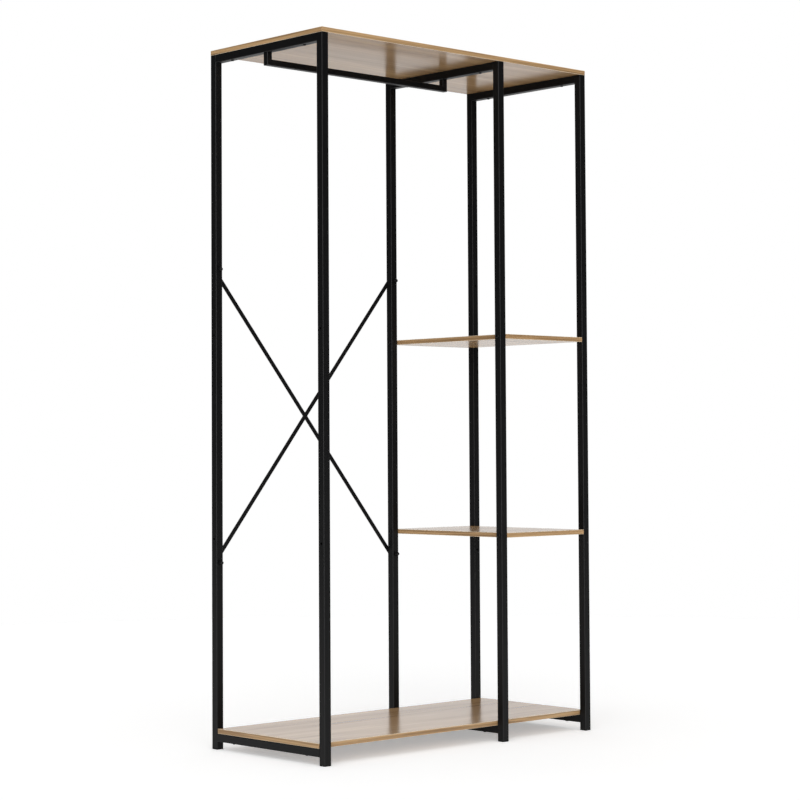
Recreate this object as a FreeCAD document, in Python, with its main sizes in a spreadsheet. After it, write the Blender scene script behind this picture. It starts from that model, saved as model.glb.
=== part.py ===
# Clothes rack: three square tube frames, four boards, a hanging rail and a rear cross brace.
# Millimetres. +X points right seen from the front, the front faces -Y and +Z is up.
# The origin is on the floor, in the middle of the rack's outer box.
import FreeCAD, Part
import math
import os
import Sketcher

# Driving dimensions
SIZES = {
    # rack as a whole
    "rack_height": 1735.0,
    "rack_depth": 425.0,
    "hang_bay": 573.0,
    "shelf_bay": 287.0,
    # frame tubes and their foot plugs
    "tube_side": 20.0,
    "tube_wall": 1.2,
    "tube_round": 1.5,
    "bottom_rail_base": 20.0,
    "plug_flange": 4.0,
    "plug_stem": 18.0,
    "plug_room": 0.3,
    # boards
    "board_thick": 12.0,
    "edging_thick": 1.0,
    "bottom_gap": 2.5,
    "upper_shelf_base": 1016.0,
    "lower_shelf_base": 512.0,
    # hanging rail
    "hang_side": 15.0,
    "hang_drop": 32.0,
    "hang_plate": 3.0,
    # rear cross brace
    "brace_high": 1187.0,
    "brace_low": 459.0,
    "brace_thick": 1.5,
    "brace_wide": 11.0,
    "brace_seat": 30.0,
    "brace_cross_gap": 0.3,
    "brace_cross_long": 40.0,
    # bolts and cap nuts; hole_room is the clearance round a shank and past its tip
    "hole_room": 0.3,
    "bolt_shank": 6.0,
    "bolt_head": 11.0,
    "bolt_head_high": 3.3,
    "bolt_socket": 4.0,
    "bolt_socket_deep": 2.0,
    "nut_flats": 10.0,
    "nut_flats_high": 5.0,
    "nut_neck": 2.4,
    "nut_dome": 9.2,
    "shelf_screw_grip": 30.0,
    "rail_screw_end": 6.0,
    # board screws
    "board_screw_shank": 4.0,
    "board_screw_head": 8.0,
    "board_screw_head_high": 2.5,
    "board_screw_socket": 2.5,
    "board_screw_socket_deep": 1.5,
    "board_screw_cover": 3.0,
    "board_screw_inset": 75.0,
}

# Dimensions that follow from the driving ones
DERIVED = {
    # rack as a whole
    "rack_width": "3 * tube_side + hang_bay + shelf_bay",
    "rear_reach": "brace_thick + bolt_head_high",
    "front_face": "-(rack_depth + rear_reach) / 2",
    "rear_face": "front_face + rack_depth",
    "middle_y": "front_face + rack_depth / 2",
    "front_y": "front_face + tube_side / 2",
    "rear_y": "rear_face - tube_side / 2",
    "left_x": "(tube_side - rack_width - bolt_head_high) / 2",
    "middle_x": "left_x + tube_side + hang_bay",
    "right_x": "middle_x + tube_side + shelf_bay",
    "rack_x": "(left_x + right_x) / 2",
    # frame tubes and their foot plugs
    "tube_bore": "tube_side - 2 * tube_wall",
    "post_top": "rack_height - board_thick",
    "post_long": "post_top - plug_flange",
    "post_z": "plug_flange + post_long / 2",
    "rail_long": "rack_depth - 2 * tube_side",
    "top_rail_base": "post_top - tube_side",
    "top_rail_z": "top_rail_base + tube_side / 2",
    "bottom_rail_z": "bottom_rail_base + tube_side / 2",
    "plug_flange_z": "plug_flange / 2",
    "plug_stem_side": "tube_bore - 2 * plug_room",
    "plug_stem_base": "plug_flange - plug_flange_z",
    # boards
    "bottom_board_base": "bottom_rail_base + tube_side",
    "bottom_deep": "rail_long - 2 * bottom_gap",
    "rack_core_wide": "rack_width - 2 * edging_thick",
    "rack_core_deep": "rack_depth - 2 * edging_thick",
    "bottom_core_deep": "bottom_deep - 2 * edging_thick",
    "shelf_core_wide": "shelf_bay - 2 * edging_thick",
    "shelf_x": "(middle_x + right_x) / 2",
    # hanging rail
    "hang_bore": "hang_side - 2 * tube_wall",
    "hang_base": "top_rail_base - hang_drop",
    "hang_bar_z": "hang_base + hang_side / 2",
    "hang_bar_x": "(left_x + middle_x) / 2",
    "hang_bar_long": "middle_x - left_x + hang_side",
    "hang_drop_z": "hang_base + hang_drop / 2",
    "hang_plate_base": "hang_drop / 2 - hang_plate",
    "hang_left_end": "left_x - hang_side / 2",
    "hang_right_end": "middle_x + hang_side / 2",
    "hang_double": "2 * hang_side",
    "mitre_y": "middle_y - hang_side",
    # rear cross brace
    "brace_span": "middle_x - left_x",
    "brace_rise": "brace_high - brace_low",
    "brace_x": "(left_x + middle_x) / 2",
    "brace_y": "rear_face + brace_thick / 2",
    "brace_z": "(brace_high + brace_low) / 2",
    "brace_fall": "atan(brace_rise / brace_span)",
    "brace_climb": "-brace_fall",
    "brace_long": "sqrt(brace_span ^ 2 + brace_rise ^ 2)",
    "brace_tip": "brace_long / 2",
    "brace_tip_radius": "brace_wide / 2",
    "brace_end": "brace_tip + brace_wide",
    "brace_seat_end": "brace_tip - brace_seat",
    "brace_cross_end": "brace_cross_long / 2",
    "brace_bow": "brace_thick + brace_cross_gap",
    "brace_bow_rear": "brace_bow + brace_thick",
    "brace_bow_room": "2 * brace_bow_rear",
    "brace_side_room": "2 * brace_wide",
    # bolts, screws and nuts
    "bolt_radius": "bolt_shank / 2",
    "bolt_hole": "bolt_radius + hole_room",
    "bolt_head_radius": "bolt_head / 2",
    "bolt_head_hole": "bolt_head_radius + hole_room",
    "bolt_head_base": "-bolt_head_high",
    "bolt_socket_radius": "bolt_socket / sqrt(3)",
    "board_screw_radius": "board_screw_shank / 2",
    "board_screw_hole": "board_screw_radius + hole_room",
    "board_screw_head_radius": "board_screw_head / 2",
    "board_screw_head_base": "-board_screw_head_high",
    "board_screw_socket_radius": "board_screw_socket / sqrt(3)",
    "brace_bolt_long": "brace_thick + tube_side + nut_flats_high",
    "shelf_screw_long": "tube_side + shelf_screw_grip",
    "rail_screw_long": "tube_wall + hang_plate + rail_screw_end",
    "board_screw_long": "tube_side + board_thick - board_screw_cover",
    "brace_bolt_hole": "brace_bolt_long + hole_room",
    "shelf_screw_hole": "shelf_screw_long + hole_room",
    "rail_screw_hole": "rail_screw_long + hole_room",
    "board_screw_drill": "board_screw_long + hole_room",
    "nut_corner": "nut_flats / sqrt(3)",
    "nut_dome_radius": "nut_dome / 2",
    "nut_bore": "nut_flats_high + hole_room",
    "nut_dome_base": "nut_flats_high + nut_neck",
    "access_deep": "tube_side / 2",
    # where the fasteners' heads and nuts bear
    "brace_bolt_y": "rear_face + brace_thick",
    "brace_nut_y": "rear_face - tube_side",
    "left_screw_x": "left_x - tube_side / 2",
    "middle_screw_x": "middle_x - tube_side / 2",
    "right_screw_x": "right_x + tube_side / 2",
    "upper_screw_z": "upper_shelf_base + board_thick / 2",
    "lower_screw_z": "lower_shelf_base + board_thick / 2",
    "front_screw_y": "front_face + board_screw_inset",
    "rear_screw_y": "rear_face - board_screw_inset",
    "rail_screw_z": "top_rail_base + tube_wall",
}

FRAMES = ("left", "middle", "right")
BRACED_FRAMES = ("left", "middle")
SHELF_FRAMES = ("middle", "right")
ROWS = ("front", "rear")
SHELVES = ("upper", "lower")
BRACE_LEVELS = ("brace_high", "brace_low")
# Ends of the hanging rail: frame, corner and the turns that lay a block on each side of the mitre
HANG_ENDS = (("left", "hang_left_end", -45, 45), ("middle", "hang_right_end", -45, -135))
# Half of the side view of the bowed brace: cells of each corner, None for zero
BOW_CORNERS = (
    (None, "brace_bow"), ("brace_cross_end", "brace_bow"), ("brace_seat_end", None), ("brace_end", None),
    ("brace_end", "brace_thick"), ("brace_seat_end", "brace_thick"), ("brace_cross_end", "brace_bow_rear"),
    (None, "brace_bow_rear"),
)

# Ways that a fastener points, from its head to its tip
ACROSS = FreeCAD.Vector(1, 0, 0)
INWARD = FreeCAD.Vector(0, 1, 0)
UPWARD = FreeCAD.Vector(0, 0, 1)
POINTING = {
    "+Z": FreeCAD.Rotation(),
    "-Z": FreeCAD.Rotation(ACROSS, 180),
    "+X": FreeCAD.Rotation(INWARD, 90),
    "-X": FreeCAD.Rotation(INWARD, -90),
    "-Y": FreeCAD.Rotation(ACROSS, 90),
}
SHELF_POINTING = {"left": "+X", "middle": "+X", "right": "-X"}

# How near a point has to be to a line to lie on it
NEAR = 0.001

doc = FreeCAD.newDocument("ClothesRack")
sheet = doc.addObject("Spreadsheet::Sheet", "Sizes")
nodes = []


def fill_sheet():
    """Write the driving dimensions as numbers and the derived ones as formulas."""
    rows = [(alias, str(size)) for alias, size in SIZES.items()]
    rows += [(alias, "=" + formula) for alias, formula in DERIVED.items()]
    for row, (alias, content) in enumerate(rows, 1):
        sheet.set(f"A{row}", alias)
        sheet.set(f"B{row}", content)
        sheet.setAlias(f"B{row}", alias)
    doc.recompute()


def bind(item, **aliases):
    """Bind properties of an object to cells of the sheet."""
    for name, alias in aliases.items():
        item.setExpression(name, "Sizes." + alias)


def place(item, x=None, y=None, z=None, rotation=FreeCAD.Rotation()):
    """Turn an object and bind its position to cells; a coordinate left out is zero."""
    item.Placement = FreeCAD.Placement(FreeCAD.Vector(), rotation)
    for axis, alias in (("x", x), ("y", y), ("z", z)):
        if alias:
            item.setExpression("Placement.Base." + axis, "Sizes." + alias)


def keep(item, label):
    """Name a finished sub-part."""
    item.Label = label
    nodes.append(item)


# Sketches and features of the bodies


def sketch_on(body, role, name, shift=None):
    """Sketch on one of the body's origin planes, moved along the plane's normal."""
    plane = next(item for item in body.Origin.OriginFeatures if item.Role == role)
    sketch = body.newObject("Sketcher::SketchObject", name)
    sketch.AttachmentSupport = [(plane, "")]
    sketch.MapMode = "FlatFace"
    if shift:
        sketch.setExpression("AttachmentOffset.Base.z", "Sizes." + shift)
    return sketch


def dimension(sketch, alias, *constraint):
    """Add a dimension to a sketch and bind it to a cell."""
    index = sketch.addConstraint(Sketcher.Constraint(*constraint, sheet.get(alias)))
    sketch.setExpression(f"Constraints[{index}]", "Sizes." + alias)


def rectangle(sketch, wide, high):
    """Rectangle centred on the sketch's origin."""
    start = sketch.GeometryCount
    x = sheet.get(wide) / 2
    y = sheet.get(high) / 2
    corners = [FreeCAD.Vector(*corner) for corner in ((-x, -y), (x, -y), (x, y), (-x, y))]
    for number in range(4):
        sketch.addGeometry(Part.LineSegment(corners[number], corners[(number + 1) % 4]))
    for number in range(4):
        following = start + (number + 1) % 4
        sketch.addConstraint(Sketcher.Constraint("Coincident", start + number, 2, following, 1))
    for number, kind in enumerate(("Horizontal", "Vertical", "Horizontal", "Vertical")):
        sketch.addConstraint(Sketcher.Constraint(kind, start + number))
    sketch.addConstraint(Sketcher.Constraint("Symmetric", start, 1, start + 2, 1, -1, 1))
    dimension(sketch, wide, "DistanceX", start, 1, start, 2)
    dimension(sketch, high, "DistanceY", start + 1, 1, start + 1, 2)


def circle(sketch, across, radius):
    """Circle whose centre is on the sketch's horizontal axis."""
    centre = FreeCAD.Vector(sheet.get(across), 0, 0)
    index = sketch.addGeometry(Part.Circle(centre, UPWARD, sheet.get(radius)))
    sketch.addConstraint(Sketcher.Constraint("PointOnObject", index, 3, -1))
    dimension(sketch, across, "DistanceX", -1, 1, index, 3)
    dimension(sketch, radius, "Radius", index)


def outline(sketch, corners):
    """Closed outline through corners that are given by the cells of their coordinates."""
    spots = [FreeCAD.Vector(*(sheet.get(alias) if alias else 0 for alias in corner)) for corner in corners]
    count = len(spots)
    for number in range(count):
        sketch.addGeometry(Part.LineSegment(spots[number], spots[(number + 1) % count]))
    for number, (across, up) in enumerate(corners):
        sketch.addConstraint(Sketcher.Constraint("Coincident", (number - 1) % count, 2, number, 1))
        for alias, kind, axis in ((across, "DistanceX", -2), (up, "DistanceY", -1)):
            if alias:
                dimension(sketch, alias, kind, -1, 1, number, 1)
            else:
                sketch.addConstraint(Sketcher.Constraint("PointOnObject", number, 1, axis))


def mirrored(body, features, name):
    """Repeat features on the other side of the body's YZ plane."""
    mirror = body.newObject("PartDesign::Mirrored", name)
    mirror.Originals = features
    plane = next(item for item in body.Origin.OriginFeatures if item.Role == "YZ_Plane")
    mirror.MirrorPlane = (plane, [""])
    body.Tip = mirror


def pad(body, sketch, name, long, side="Symmetric"):
    """Pad a sketch evenly to both sides of it, or along its normal."""
    feature = body.newObject("PartDesign::Pad", name)
    feature.Profile = sketch
    feature.SideType = side
    bind(feature, Length=long)
    return feature


def round_corners(body, feature, name, side, along):
    """Round the long outer edges of a square bar."""
    doc.recompute()
    corner = sheet.get(side) / math.sqrt(2)
    names = []
    for number, edge in enumerate(feature.Shape.Edges, 1):
        middle = edge.CenterOfMass
        from_axis = (middle - along * middle.dot(along)).Length
        if abs(from_axis - corner) < NEAR:
            names.append(f"Edge{number}")
    fillet = body.newObject("PartDesign::Fillet", name)
    fillet.Base = (feature, names)
    bind(fillet, Radius="tube_round")


def square_tube(name, side, bore, long, role, along):
    """Square tube with rounded corners, centred on its own origin."""
    body = doc.addObject("PartDesign::Body", name)
    sketch = sketch_on(body, role, name + "_section")
    rectangle(sketch, side, side)
    rectangle(sketch, bore, bore)
    feature = pad(body, sketch, name + "_pad", long)
    round_corners(body, feature, name + "_round", side, along)
    return body


# Fasteners and the holes for them


def cylinder(name, radius, high, base=None):
    """Upright cylinder on the Z axis."""
    item = doc.addObject("Part::Cylinder", name)
    bind(item, Radius=radius, Height=high)
    place(item, z=base)
    return item


def hexagon(name, corner, high, base=None):
    """Upright hexagonal prism on the Z axis."""
    item = doc.addObject("Part::Prism", name)
    item.Polygon = 6
    bind(item, Circumradius=corner, Height=high)
    place(item, z=base)
    return item


def combine(kind, name, base, tool):
    """Fuse, cut or common of two objects."""
    item = doc.addObject(kind, name)
    item.Base = base
    item.Tool = tool
    return item


def screw(name, family, long):
    """Screw with a round socket head below z = 0 and its shank above."""
    shank = cylinder(name + "_shank", family + "_radius", long)
    head = cylinder(name + "_head", family + "_head_radius", family + "_head_high", family + "_head_base")
    socket = hexagon(
        name + "_socket", family + "_socket_radius", family + "_socket_deep", family + "_head_base"
    )
    whole = combine("Part::Fuse", name + "_whole", shank, head)
    return combine("Part::Cut", name, whole, socket)


def cap_nut(name):
    """Domed nut that bears at z = 0, with a blind bore."""
    body = hexagon(name + "_flats", "nut_corner", "nut_flats_high")
    neck = cylinder(name + "_neck", "nut_dome_radius", "nut_dome_base")
    dome = doc.addObject("Part::Sphere", name + "_dome")
    bind(dome, Radius="nut_dome_radius")
    place(dome, z="nut_dome_base")
    bore = cylinder(name + "_bore", "bolt_hole", "nut_bore")
    necked = combine("Part::Fuse", name + "_necked", body, neck)
    whole = combine("Part::Fuse", name + "_whole", necked, dome)
    return combine("Part::Cut", name, whole, bore)


def copy_at(name, original, x, y, z, pointing):
    """Linked copy of a fastener or of a drill at a place on the rack."""
    item = doc.addObject("App::Link", name)
    item.LinkedObject = original
    place(item, x, y, z, POINTING[pointing])
    return item


def group(label, copies):
    """One sub-part of several equal fasteners."""
    item = doc.addObject("Part::Compound", label)
    item.Links = copies
    keep(item, label)


def drilled(label, base, drills):
    """Finished sub-part: a blank with its holes."""
    tools = doc.addObject("Part::Compound", label + "_drills")
    tools.Links = drills
    keep(combine("Part::Cut", label + "_drilled", base, tools), label)


# Where each fastener sits: name to x, y, z cells and pointing


def brace_places():
    """Brace holes through the rear posts, the same in every frame."""
    for frame in FRAMES:
        for level in BRACE_LEVELS:
            yield (frame, level), (frame + "_x", "brace_bolt_y", level, "-Y")


def shelf_places():
    """Shelf holes through the posts, the same in every frame."""
    for frame in FRAMES:
        for row in ROWS:
            for shelf in SHELVES:
                at = (frame + "_screw_x", row + "_y", shelf + "_screw_z", SHELF_POINTING[frame])
                yield (frame, row, shelf), at


def board_places(base):
    """Screws up through the cross rails into a board."""
    for frame in FRAMES:
        for row in ROWS:
            yield (frame, row), (frame + "_x", row + "_screw_y", base, "+Z")


def rail_places(base):
    """Middle of the top rails that carry the hanging rail."""
    for frame in BRACED_FRAMES:
        yield frame, (frame + "_x", "middle_y", base, "-Z")


def copies_of(original, kind, places):
    """Linked copies by place name."""
    made = {}
    for key, at in places:
        words = key if isinstance(key, tuple) else (key,)
        made[key] = copy_at("_".join(words + (kind,)), original, *at)
    return made


# Sub-parts


def make_holes():
    """Every hole in the rack, by kind and place."""
    bolt = cylinder("brace_drill", "bolt_hole", "brace_bolt_hole")
    shelf = cylinder("shelf_drill", "bolt_hole", "shelf_screw_hole")
    board = cylinder("board_drill", "board_screw_hole", "board_screw_drill")
    rail = cylinder("rail_drill", "bolt_hole", "rail_screw_hole")
    access = cylinder("access_drill", "bolt_head_hole", "access_deep")
    return {
        "brace": copies_of(bolt, "brace_hole", brace_places()),
        "shelf": copies_of(shelf, "shelf_hole", shelf_places()),
        "top": copies_of(board, "top_hole", board_places("top_rail_base")),
        "bottom": copies_of(board, "bottom_hole", board_places("bottom_rail_base")),
        "rail": copies_of(rail, "rail_hole", rail_places("rail_screw_z")),
        "access": copies_of(access, "access_hole", rail_places("post_top")),
    }


def make_posts(holes):
    """Two posts in each of three equal frames, all with shelf holes, the rear ones with brace holes."""
    for frame in FRAMES:
        for row in ROWS:
            label = f"{frame}_{row}_post"
            tube = square_tube(label + "_tube", "tube_side", "tube_bore", "post_long", "XY_Plane", UPWARD)
            place(tube, frame + "_x", row + "_y", "post_z")
            drills = [holes["shelf"][frame, row, shelf] for shelf in SHELVES]
            if row == "rear":
                drills += [holes["brace"][frame, level] for level in BRACE_LEVELS]
            drilled(label, tube, drills)


def make_rails(holes):
    """Top and bottom cross rail of each frame."""
    for frame in FRAMES:
        for level in ("top", "bottom"):
            label = f"{frame}_{level}_rail"
            tube = square_tube(label + "_tube", "tube_side", "tube_bore", "rail_long", "XZ_Plane", INWARD)
            place(tube, frame + "_x", "middle_y", level + "_rail_z")
            drills = [holes[level][frame, row] for row in ROWS]
            if level == "top" and frame in BRACED_FRAMES:
                drills += [holes["rail"][frame], holes["access"][frame]]
            drilled(label, tube, drills)


def make_foot_plugs():
    """Plug with a flange under each post and a stem inside it."""
    for frame in FRAMES:
        for row in ROWS:
            label = f"{frame}_{row}_foot_plug"
            body = doc.addObject("PartDesign::Body", label)
            flange_sketch = sketch_on(body, "XY_Plane", label + "_flange_outline")
            rectangle(flange_sketch, "tube_side", "tube_side")
            flange = pad(body, flange_sketch, label + "_flange", "plug_flange")
            round_corners(body, flange, label + "_round", "tube_side", UPWARD)
            stem_sketch = sketch_on(body, "XY_Plane", label + "_stem_outline", "plug_stem_base")
            rectangle(stem_sketch, "plug_stem_side", "plug_stem_side")
            pad(body, stem_sketch, label + "_stem", "plug_stem", "One side")
            place(body, frame + "_x", row + "_y", "plug_flange_z")
            keep(body, label)


def make_board(label, x, base, wide, deep, core_wide, core_deep, drills, edge_drills):
    """Board core and the edging strip round it."""
    core = doc.addObject("PartDesign::Body", label + "_core")
    core_sketch = sketch_on(core, "XY_Plane", label + "_core_outline")
    rectangle(core_sketch, core_wide, core_deep)
    pad(core, core_sketch, label + "_core_pad", "board_thick", "One side")
    place(core, x, "middle_y", base)
    drilled(label, core, drills)
    edge_label = label + "_edging"
    strip = doc.addObject("PartDesign::Body", edge_label + "_strip")
    strip_sketch = sketch_on(strip, "XY_Plane", edge_label + "_outline")
    rectangle(strip_sketch, wide, deep)
    rectangle(strip_sketch, core_wide, core_deep)
    pad(strip, strip_sketch, edge_label + "_pad", "board_thick", "One side")
    place(strip, x, "middle_y", base)
    if edge_drills:
        drilled(edge_label, strip, edge_drills)
    else:
        keep(strip, edge_label)


def make_boards(holes):
    """Top and bottom board over the whole width, two shelves between the middle and right frames."""
    top_drills = list(holes["top"].values())
    rack_core = ("rack_core_wide", "rack_core_deep")
    make_board(
        "top_board", "rack_x", "post_top", "rack_width", "rack_depth", *rack_core, top_drills, []
    )
    bottom_drills = list(holes["bottom"].values())
    bottom_core = ("rack_core_wide", "bottom_core_deep")
    make_board(
        "bottom_board", "rack_x", "bottom_board_base", "rack_width", "bottom_deep",
        *bottom_core, bottom_drills, []
    )
    for shelf in SHELVES:
        drills = [holes["shelf"][frame, row, shelf] for frame in SHELF_FRAMES for row in ROWS]
        shelf_core = ("shelf_core_wide", "rack_core_deep")
        label = shelf + "_shelf"
        make_board(label, "shelf_x", label + "_base", "shelf_bay", "rack_depth", *shelf_core, drills, drills)


def mitre_block(name, end, turn):
    """Block turned about the hanging rail's lower outer corner, so that a face lies on the mitre."""
    block = doc.addObject("Part::Box", name)
    bind(block, Length="hang_double", Width="hang_double", Height="hang_double")
    place(block, end, "mitre_y", "hang_base", FreeCAD.Rotation(INWARD, turn))
    return block


def make_hanging_rail(holes):
    """Bar on two short drops under the top rails, joined on mitres."""
    bar = square_tube("hanging_bar_tube", "hang_side", "hang_bore", "hang_bar_long", "YZ_Plane", ACROSS)
    place(bar, "hang_bar_x", "middle_y", "hang_bar_z")
    for frame, end, bar_turn, drop_turn in HANG_ENDS:
        bar_block = mitre_block(frame + "_bar_mitre", end, bar_turn)
        bar = combine("Part::Cut", frame + "_bar_end", bar, bar_block)
        label = frame + "_hanging_drop"
        tube = square_tube(label + "_tube", "hang_side", "hang_bore", "hang_drop", "XY_Plane", UPWARD)
        plate = sketch_on(tube, "XY_Plane", label + "_plate_outline", "hang_plate_base")
        rectangle(plate, "hang_bore", "hang_bore")
        pad(tube, plate, label + "_plate", "hang_plate", "One side")
        place(tube, frame + "_x", "middle_y", "hang_drop_z")
        drop_block = mitre_block(label + "_mitre", end, drop_turn)
        drilled(label, combine("Part::Cut", label + "_cut", tube, drop_block), [holes["rail"][frame]])
    keep(bar, "hanging_bar")


def brace_bar(name, thick):
    """Flat bar with rounded ends, centred on its own origin."""
    body = doc.addObject("PartDesign::Body", name)
    bar_outline = sketch_on(body, "XZ_Plane", name + "_outline")
    rectangle(bar_outline, "brace_long", "brace_wide")
    pad(body, bar_outline, name + "_pad", thick)
    tip_outline = sketch_on(body, "XZ_Plane", name + "_tip_outline")
    circle(tip_outline, "brace_tip", "brace_tip_radius")
    tip = pad(body, tip_outline, name + "_tip", thick)
    mirrored(body, [tip], name + "_other_tip")
    return body


def slope(item, y, angle):
    """Lay a brace between the rear posts."""
    place(item, "brace_x", y, "brace_z", FreeCAD.Rotation(INWARD, 1))
    item.setExpression("Placement.Rotation.Angle", "Sizes." + angle)


def make_braces(holes):
    """Two flat bars behind the left and middle frames; the rising one bows behind the falling one."""
    drills = holes["brace"]
    straight = brace_bar("falling_brace_bar", "brace_thick")
    slope(straight, "brace_y", "brace_fall")
    drilled("falling_brace", straight, [drills["left", "brace_high"], drills["middle", "brace_low"]])
    bar = brace_bar("rising_brace_bar", "brace_bow_room")
    slope(bar, "rear_face", "brace_climb")
    side = doc.addObject("PartDesign::Body", "rising_brace_side")
    side_sketch = sketch_on(side, "XY_Plane", "rising_brace_side_outline")
    outline(side_sketch, BOW_CORNERS)
    half = pad(side, side_sketch, "rising_brace_half", "brace_side_room")
    mirrored(side, [half], "rising_brace_other_half")
    slope(side, "rear_face", "brace_climb")
    bowed = combine("Part::Common", "rising_brace_bowed", bar, side)
    drilled("rising_brace", bowed, [drills["left", "brace_low"], drills["middle", "brace_high"]])


def make_fasteners():
    """Bolts, nuts and screws, each kind one sub-part."""
    bolt_places = [spot for spot in brace_places() if spot[0][0] in BRACED_FRAMES]
    bolt = screw("brace_bolt", "bolt", "brace_bolt_long")
    group("brace_bolts", list(copies_of(bolt, "brace_bolt", bolt_places).values()))
    nut_places = [(key, (x, "brace_nut_y", z, way)) for key, (x, _, z, way) in bolt_places]
    group("brace_cap_nuts", list(copies_of(cap_nut("cap_nut"), "cap_nut", nut_places).values()))
    shelf_screw = screw("shelf_screw", "bolt", "shelf_screw_long")
    screw_places = [spot for spot in shelf_places() if spot[0][0] in SHELF_FRAMES]
    group("shelf_screws", list(copies_of(shelf_screw, "shelf_screw", screw_places).values()))
    board_screw = screw("board_screw", "board_screw", "board_screw_long")
    for board, base in (("top_board", "top_rail_base"), ("bottom_board", "bottom_rail_base")):
        copies = copies_of(board_screw, board + "_screw", board_places(base))
        group(board + "_screws", list(copies.values()))
    rail_screw = screw("rail_screw", "bolt", "rail_screw_long")
    rail_copies = copies_of(rail_screw, "rail_screw", rail_places("rail_screw_z"))
    group("hanging_rail_screws", list(rail_copies.values()))


def write_parts():
    """Check every object, then write each sub-part to its file."""
    doc.recompute()
    for item in doc.Objects:
        if "Invalid" in item.State or "Error" in item.State:
            raise RuntimeError(f"{item.Label} could not be made: {item.State}")
    for item in nodes:
        if item.Shape.isNull() or not item.Shape.isValid() or not item.Shape.Solids:
            raise RuntimeError(f"{item.Label} has no valid solid")
    os.makedirs("parts", exist_ok=True)
    for item in nodes:
        item.Shape.exportStep(f"parts/{item.Label}.step")
        print(f"{item.Label}: {len(item.Shape.Solids)} solids, {item.Shape.Volume:.0f} mm3")


fill_sheet()
all_holes = make_holes()
make_posts(all_holes)
make_rails(all_holes)
make_foot_plugs()
make_boards(all_holes)
make_hanging_rail(all_holes)
make_braces(all_holes)
make_fasteners()
write_parts()
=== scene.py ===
import math

import bmesh
import bpy
from bpy.props import FloatProperty, FloatVectorProperty, PointerProperty
from bpy.types import NodeSocket, Operator, Panel, PropertyGroup
from mathutils import Matrix, Vector


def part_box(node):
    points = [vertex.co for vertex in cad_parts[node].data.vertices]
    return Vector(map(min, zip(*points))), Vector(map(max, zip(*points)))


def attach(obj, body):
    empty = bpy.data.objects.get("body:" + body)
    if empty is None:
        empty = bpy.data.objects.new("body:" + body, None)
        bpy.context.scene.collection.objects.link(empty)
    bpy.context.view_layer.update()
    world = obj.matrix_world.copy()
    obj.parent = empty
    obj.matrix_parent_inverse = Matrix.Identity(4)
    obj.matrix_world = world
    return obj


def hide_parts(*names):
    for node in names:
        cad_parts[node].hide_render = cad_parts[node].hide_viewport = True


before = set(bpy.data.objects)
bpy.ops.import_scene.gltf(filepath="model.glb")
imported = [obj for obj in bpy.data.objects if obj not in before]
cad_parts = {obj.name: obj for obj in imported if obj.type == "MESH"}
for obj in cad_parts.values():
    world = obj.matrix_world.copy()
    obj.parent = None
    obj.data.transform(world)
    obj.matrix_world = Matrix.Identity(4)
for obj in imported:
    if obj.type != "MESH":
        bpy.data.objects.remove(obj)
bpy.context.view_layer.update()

bl_info = {
    "name": "Clothes Rack",
    "version": (1, 0, 0),
    "blender": (4, 5, 0),
    "location": "View3D > Sidebar > Clothes Rack",
    "description": "Boards, fasteners, plugs and finishes of a steel and oak clothes rack",
    "category": "Object",
}

# Nodes of the frame
BODY = "root"
FRAMES = ("left", "middle", "right")
BRACED_FRAMES = ("left", "middle")
ROWS = ("front", "rear")
SHELVES = ("upper_shelf", "lower_shelf")
BOARDS = ("top_board", "bottom_board", *SHELVES)
STEEL_NODES = (
    [f"{side}_{row}_post" for side in FRAMES for row in ROWS]
    + [f"{side}_{level}_rail" for side in FRAMES for level in ("top", "bottom")]
    + [f"{side}_hanging_drop" for side in BRACED_FRAMES]
    + ["hanging_bar", "falling_brace", "rising_brace"]
)

# Axes, corners of a box and directions
X, Y, Z = range(3)
LOW, HIGH = range(2)
RIGHT = Vector((1.0, 0.0, 0.0))
FRONT = Vector((0.0, -1.0, 0.0))
UP = Vector((0.0, 0.0, 1.0))
# The distance under which two levels count as one, and sides of round shapes
SAME_LEVEL = 1e-6
HEXAGON_SIDES = 6
ROUND_SIDES = 40
FLOOR_SIDES = 96


# Properties

def length(name, description, default):
    """A property that holds a length in metres."""
    return FloatProperty(name=name, description=description, default=default, min=0.0,
                         precision=5, unit="LENGTH", subtype="DISTANCE")


def share(name, description, default):
    """A property that holds a share from 0 to 1."""
    return FloatProperty(name=name, description=description, default=default, min=0.0, max=1.0,
                         subtype="FACTOR")


def angle(name, description, degrees):
    """A property that holds an angle, whose default is given in degrees."""
    return FloatProperty(name=name, description=description, default=math.radians(degrees),
                         subtype="ANGLE")


def number(name, description, default, **settings):
    """A property that holds a plain number."""
    return FloatProperty(name=name, description=description, default=default, **settings)


def colour(name, description, default):
    """A property that holds a linear colour."""
    return FloatVectorProperty(name=name, description=description, default=default, size=3,
                               min=0.0, max=1.0, subtype="COLOR")


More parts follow.
